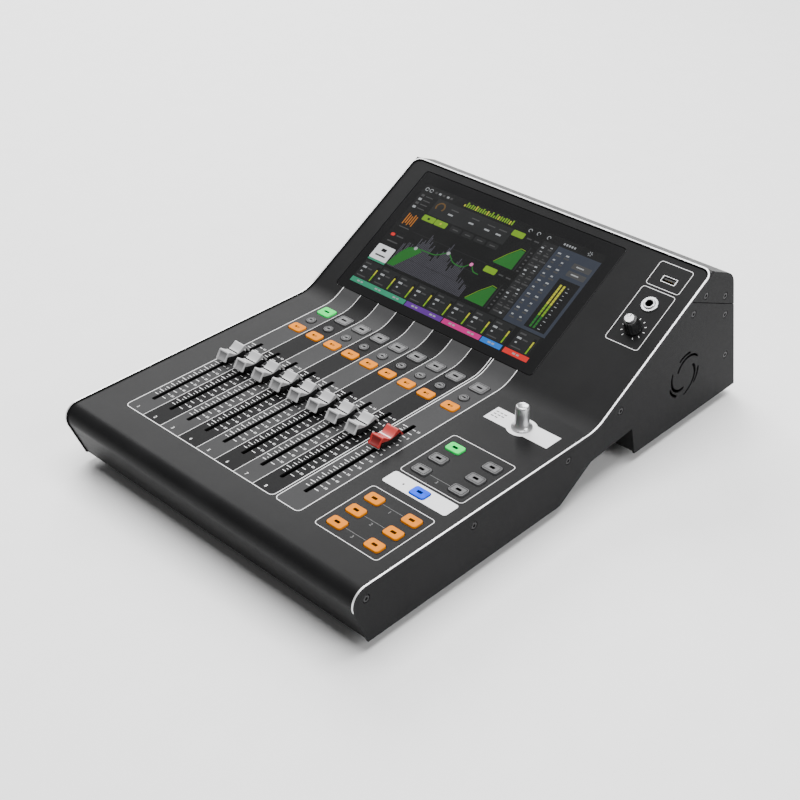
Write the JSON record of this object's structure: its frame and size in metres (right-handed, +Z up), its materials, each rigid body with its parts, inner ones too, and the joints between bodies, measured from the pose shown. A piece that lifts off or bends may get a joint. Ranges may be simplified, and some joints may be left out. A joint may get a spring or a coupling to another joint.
{
  "type": "digital mixing console",
  "caption": "Compact digital mixing console with a tilted touch screen, motor faders, lit keys, turning knobs and a rear socket panel.",
  "frame": {"origin": "centre of the box's underside, on the table under the feet", "axes": "+X to the operator's right, +Y from the nose to the rear face, +Z up"},
  "size_m": [0.32, 0.455, 0.1399],
  "materials": {
    "deck_paint": "fine matt texture, printed",
    "side_paint": "fine grained matt paint",
    "black_paint": "fine grained matt paint",
    "black_glass": "polished",
    "bare_metal": "sheet, satin",
    "black_rubber": "matt",
    "black_steel": "blackened steel",
    "bare_steel": "zinc plated",
    "board_green": "satin lacquer",
    "socket_black": "moulded, satin",
    "fan_black": "moulded, satin",
    "fader_grey": "moulded, satin",
    "fader_red": "moulded, satin",
    "key_grey": "translucent silicone, unlit",
    "key_green": "translucent silicone, lit",
    "key_orange": "translucent silicone, lit",
    "key_blue": "translucent silicone, lit",
    "knob_silver": "anodised, satin",
    "knob_black": "moulded, satin",
    "rocker_black": "moulded, gloss"
  },
  "bodies": {
    "console": {"top_panel": "deck_paint", "left_side_panel": "side_paint", "right_side_panel": "side_paint", "base_pan": "black_paint", "rear_panel": "black_paint", "rear_top_cover": "side_paint", "touch_glass": "black_glass", "display_module": "bare_metal", "rubber_feet": "black_rubber", "case_screws": "black_steel", "fader_frames": "bare_steel", "circuit_boards": "board_green", "sockets": "socket_black", "power_supply": "bare_metal", "fan_frame": "fan_black"},
    "fader_1_body": {"fader_1": "fader_grey"},
    "fader_2_body": {"fader_2": "fader_grey"},
    "fader_3_body": {"fader_3": "fader_grey"},
    "fader_4_body": {"fader_4": "fader_grey"},
    "fader_5_body": {"fader_5": "fader_grey"},
    "fader_6_body": {"fader_6": "fader_grey"},
    "fader_7_body": {"fader_7": "fader_grey"},
    "fader_8_body": {"fader_8": "fader_grey"},
    "fader_9_body": {"fader_9": "fader_red"},
    "sel_key_1_body": {"sel_key_1": "key_green"},
    "sel_key_2_body": {"sel_key_2": "key_grey"},
    "sel_key_3_body": {"sel_key_3": "key_grey"},
    "sel_key_4_body": {"sel_key_4": "key_grey"},
    "sel_key_5_body": {"sel_key_5": "key_grey"},
    "sel_key_6_body": {"sel_key_6": "key_grey"},
    "sel_key_7_body": {"sel_key_7": "key_grey"},
    "sel_key_8_body": {"sel_key_8": "key_grey"},
    "sel_key_9_body": {"sel_key_9": "key_grey"},
    "on_key_1_body": {"on_key_1": "key_orange"},
    "on_key_2_body": {"on_key_2": "key_orange"},
    "on_key_3_body": {"on_key_3": "key_orange"},
    "on_key_4_body": {"on_key_4": "key_orange"},
    "on_key_5_body": {"on_key_5": "key_orange"},
    "on_key_6_body": {"on_key_6": "key_orange"},
    "on_key_7_body": {"on_key_7": "key_orange"},
    "on_key_8_body": {"on_key_8": "key_orange"},
    "on_key_9_body": {"on_key_9": "key_orange"},
    "cue_keys_body": {"cue_keys": "key_grey"},
    "user_key_1_body": {"user_key_1": "key_orange"},
    "user_key_2_body": {"user_key_2": "key_orange"},
    "user_key_3_body": {"user_key_3": "key_orange"},
    "user_key_4_body": {"user_key_4": "key_orange"},
    "user_key_5_body": {"user_key_5": "key_orange"},
    "user_key_6_body": {"user_key_6": "key_orange"},
    "bank_key_1_body": {"bank_key_1": "key_green"},
    "bank_key_2_body": {"bank_key_2": "key_grey"},
    "bank_key_3_body": {"bank_key_3": "key_grey"},
    "bank_key_4_body": {"bank_key_4": "key_grey"},
    "bank_key_5_body": {"bank_key_5": "key_grey"},
    "bank_key_6_body": {"bank_key_6": "key_grey"},
    "layer_key_body": {"layer_key": "key_blue"},
    "touch_turn_knob_body": {"touch_turn_knob": "knob_silver"},
    "phones_knob_body": {"phones_knob": "knob_black"},
    "power_rocker_body": {"power_rocker": "rocker_black"},
    "fan_rotor_body": {"fan_rotor": "fan_black"}
  },
  "joints": [
    {"name": "fader_1_slide", "type": "slide", "parent": "console", "child": "fader_1_body", "axis": [0, 1, 0], "range_m": [-0.0753, 0.0247]},
    {"name": "fader_2_slide", "type": "slide", "parent": "console", "child": "fader_2_body", "axis": [0, 1, 0], "range_m": [-0.0753, 0.0247]},
    {"name": "fader_3_slide", "type": "slide", "parent": "console", "child": "fader_3_body", "axis": [0, 1, 0], "range_m": [-0.0753, 0.0247]},
    {"name": "fader_4_slide", "type": "slide", "parent": "console", "child": "fader_4_body", "axis": [0, 1, 0], "range_m": [-0.0753, 0.0247]},
    {"name": "fader_5_slide", "type": "slide", "parent": "console", "child": "fader_5_body", "axis": [0, 1, 0], "range_m": [-0.0753, 0.0247]},
    {"name": "fader_6_slide", "type": "slide", "parent": "console", "child": "fader_6_body", "axis": [0, 1, 0], "range_m": [-0.0753, 0.0247]},
    {"name": "fader_7_slide", "type": "slide", "parent": "console", "child": "fader_7_body", "axis": [0, 1, 0], "range_m": [-0.0753, 0.0247]},
    {"name": "fader_8_slide", "type": "slide", "parent": "console", "child": "fader_8_body", "axis": [0, 1, 0], "range_m": [-0.0753, 0.0247]},
    {"name": "fader_9_slide", "type": "slide", "parent": "console", "child": "fader_9_body", "axis": [0, 1, 0], "range_m": [-0.0753, 0.0247]},
    {"name": "sel_key_1_press", "type": "slide", "parent": "console", "child": "sel_key_1_body", "axis": [0, 0, -1], "range_m": [0, 0.001], "stiffness_N_per_m": 200, "springref_m": -0.001},
    {"name": "sel_key_2_press", "type": "slide", "parent": "console", "child": "sel_key_2_body", "axis": [0, 0, -1], "range_m": [0, 0.001], "stiffness_N_per_m": 200, "springref_m": -0.001},
    {"name": "sel_key_3_press", "type": "slide", "parent": "console", "child": "sel_key_3_body", "axis": [0, 0, -1], "range_m": [0, 0.001], "stiffness_N_per_m": 200, "springref_m": -0.001},
    {"name": "sel_key_4_press", "type": "slide", "parent": "console", "child": "sel_key_4_body", "axis": [0, 0, -1], "range_m": [0, 0.001], "stiffness_N_per_m": 200, "springref_m": -0.001},
    {"name": "sel_key_5_press", "type": "slide", "parent": "console", "child": "sel_key_5_body", "axis": [0, 0, -1], "range_m": [0, 0.001], "stiffness_N_per_m": 200, "springref_m": -0.001},
    {"name": "sel_key_6_press", "type": "slide", "parent": "console", "child": "sel_key_6_body", "axis": [0, 0, -1], "range_m": [0, 0.001], "stiffness_N_per_m": 200, "springref_m": -0.001},
    {"name": "sel_key_7_press", "type": "slide", "parent": "console", "child": "sel_key_7_body", "axis": [0, 0, -1], "range_m": [0, 0.001], "stiffness_N_per_m": 200, "springref_m": -0.001},
    {"name": "sel_key_8_press", "type": "slide", "parent": "console", "child": "sel_key_8_body", "axis": [0, 0, -1], "range_m": [0, 0.001], "stiffness_N_per_m": 200, "springref_m": -0.001},
    {"name": "sel_key_9_press", "type": "slide", "parent": "console", "child": "sel_key_9_body", "axis": [0, 0, -1], "range_m": [0, 0.001], "stiffness_N_per_m": 200, "springref_m": -0.001},
    {"name": "on_key_1_press", "type": "slide", "parent": "console", "child": "on_key_1_body", "axis": [0, 0, -1], "range_m": [0, 0.001], "stiffness_N_per_m": 200, "springref_m": -0.001},
    {"name": "on_key_2_press", "type": "slide", "parent": "console", "child": "on_key_2_body", "axis": [0, 0, -1], "range_m": [0, 0.001], "stiffness_N_per_m": 200, "springref_m": -0.001},
    {"name": "on_key_3_press", "type": "slide", "parent": "console", "child": "on_key_3_body", "axis": [0, 0, -1], "range_m": [0, 0.001], "stiffness_N_per_m": 200, "springref_m": -0.001},
    {"name": "on_key_4_press", "type": "slide", "parent": "console", "child": "on_key_4_body", "axis": [0, 0, -1], "range_m": [0, 0.001], "stiffness_N_per_m": 200, "springref_m": -0.001},
    {"name": "on_key_5_press", "type": "slide", "parent": "console", "child": "on_key_5_body", "axis": [0, 0, -1], "range_m": [0, 0.001], "stiffness_N_per_m": 200, "springref_m": -0.001},
    {"name": "on_key_6_press", "type": "slide", "parent": "console", "child": "on_key_6_body", "axis": [0, 0, -1], "range_m": [0, 0.001], "stiffness_N_per_m": 200, "springref_m": -0.001},
    {"name": "on_key_7_press", "type": "slide", "parent": "console", "child": "on_key_7_body", "axis": [0, 0, -1], "range_m": [0, 0.001], "stiffness_N_per_m": 200, "springref_m": -0.001},
    {"name": "on_key_8_press", "type": "slide", "parent": "console", "child": "on_key_8_body", "axis": [0, 0, -1], "range_m": [0, 0.001], "stiffness_N_per_m": 200, "springref_m": -0.001},
    {"name": "on_key_9_press", "type": "slide", "parent": "console", "child": "on_key_9_body", "axis": [0, 0, -1], "range_m": [0, 0.001], "stiffness_N_per_m": 200, "springref_m": -0.001},
    {"name": "cue_keys_press", "type": "slide", "parent": "console", "child": "cue_keys_body", "axis": [0, 0, -1], "range_m": [0, 0.001], "stiffness_N_per_m": 200, "springref_m": -0.001},
    {"name": "user_key_1_press", "type": "slide", "parent": "console", "child": "user_key_1_body", "axis": [0, 0, -1], "range_m": [0, 0.001], "stiffness_N_per_m": 200, "springref_m": -0.001},
    {"name": "user_key_2_press", "type": "slide", "parent": "console", "child": "user_key_2_body", "axis": [0, 0, -1], "range_m": [0, 0.001], "stiffness_N_per_m": 200, "springref_m": -0.001},
    {"name": "user_key_3_press", "type": "slide", "parent": "console", "child": "user_key_3_body", "axis": [0, 0, -1], "range_m": [0, 0.001], "stiffness_N_per_m": 200, "springref_m": -0.001},
    {"name": "user_key_4_press", "type": "slide", "parent": "console", "child": "user_key_4_body", "axis": [0, 0, -1], "range_m": [0, 0.001], "stiffness_N_per_m": 200, "springref_m": -0.001},
    {"name": "user_key_5_press", "type": "slide", "parent": "console", "child": "user_key_5_body", "axis": [0, 0, -1], "range_m": [0, 0.001], "stiffness_N_per_m": 200, "springref_m": -0.001},
    {"name": "user_key_6_press", "type": "slide", "parent": "console", "child": "user_key_6_body", "axis": [0, 0, -1], "range_m": [0, 0.001], "stiffness_N_per_m": 200, "springref_m": -0.001},
    {"name": "bank_key_1_press", "type": "slide", "parent": "console", "child": "bank_key_1_body", "axis": [0, 0, -1], "range_m": [0, 0.001], "stiffness_N_per_m": 200, "springref_m": -0.001},
    {"name": "bank_key_2_press", "type": "slide", "parent": "console", "child": "bank_key_2_body", "axis": [0, 0, -1], "range_m": [0, 0.001], "stiffness_N_per_m": 200, "springref_m": -0.001},
    {"name": "bank_key_3_press", "type": "slide", "parent": "console", "child": "bank_key_3_body", "axis": [0, 0, -1], "range_m": [0, 0.001], "stiffness_N_per_m": 200, "springref_m": -0.001},
    {"name": "bank_key_4_press", "type": "slide", "parent": "console", "child": "bank_key_4_body", "axis": [0, 0, -1], "range_m": [0, 0.001], "stiffness_N_per_m": 200, "springref_m": -0.001},
    {"name": "bank_key_5_press", "type": "slide", "parent": "console", "child": "bank_key_5_body", "axis": [0, 0, -1], "range_m": [0, 0.001], "stiffness_N_per_m": 200, "springref_m": -0.001},
    {"name": "bank_key_6_press", "type": "slide", "parent": "console", "child": "bank_key_6_body", "axis": [0, 0, -1], "range_m": [0, 0.001], "stiffness_N_per_m": 200, "springref_m": -0.001},
    {"name": "layer_key_press", "type": "slide", "parent": "console", "child": "layer_key_body", "axis": [0, 0, -1], "range_m": [0, 0.001], "stiffness_N_per_m": 200, "springref_m": -0.001},
    {"name": "touch_turn_knob_turn", "type": "hinge", "parent": "console", "child": "touch_turn_knob_body", "pos_m": [0.1156, -0.0041, 0.0612], "axis": [0, 0, 1], "continuous": true},
    {"name": "phones_knob_turn", "type": "hinge", "parent": "console", "child": "phones_knob_body", "pos_m": [0.132, 0.10896, 0.10296], "axis": [0, -0.4985, 0.8669], "range_deg": [-150, 150]},
    {"name": "power_rocker_turn", "type": "hinge", "parent": "console", "child": "power_rocker_body", "pos_m": [0.093, 0.21936, 0.0279], "axis": [1, 0, 0], "range_deg": [0, 16]},
    {"name": "fan_rotor_turn", "type": "hinge", "parent": "console", "child": "fan_rotor_body", "pos_m": [0.147, 0.1465, 0.0547], "axis": [1, 0, 0], "continuous": true}
  ]
}
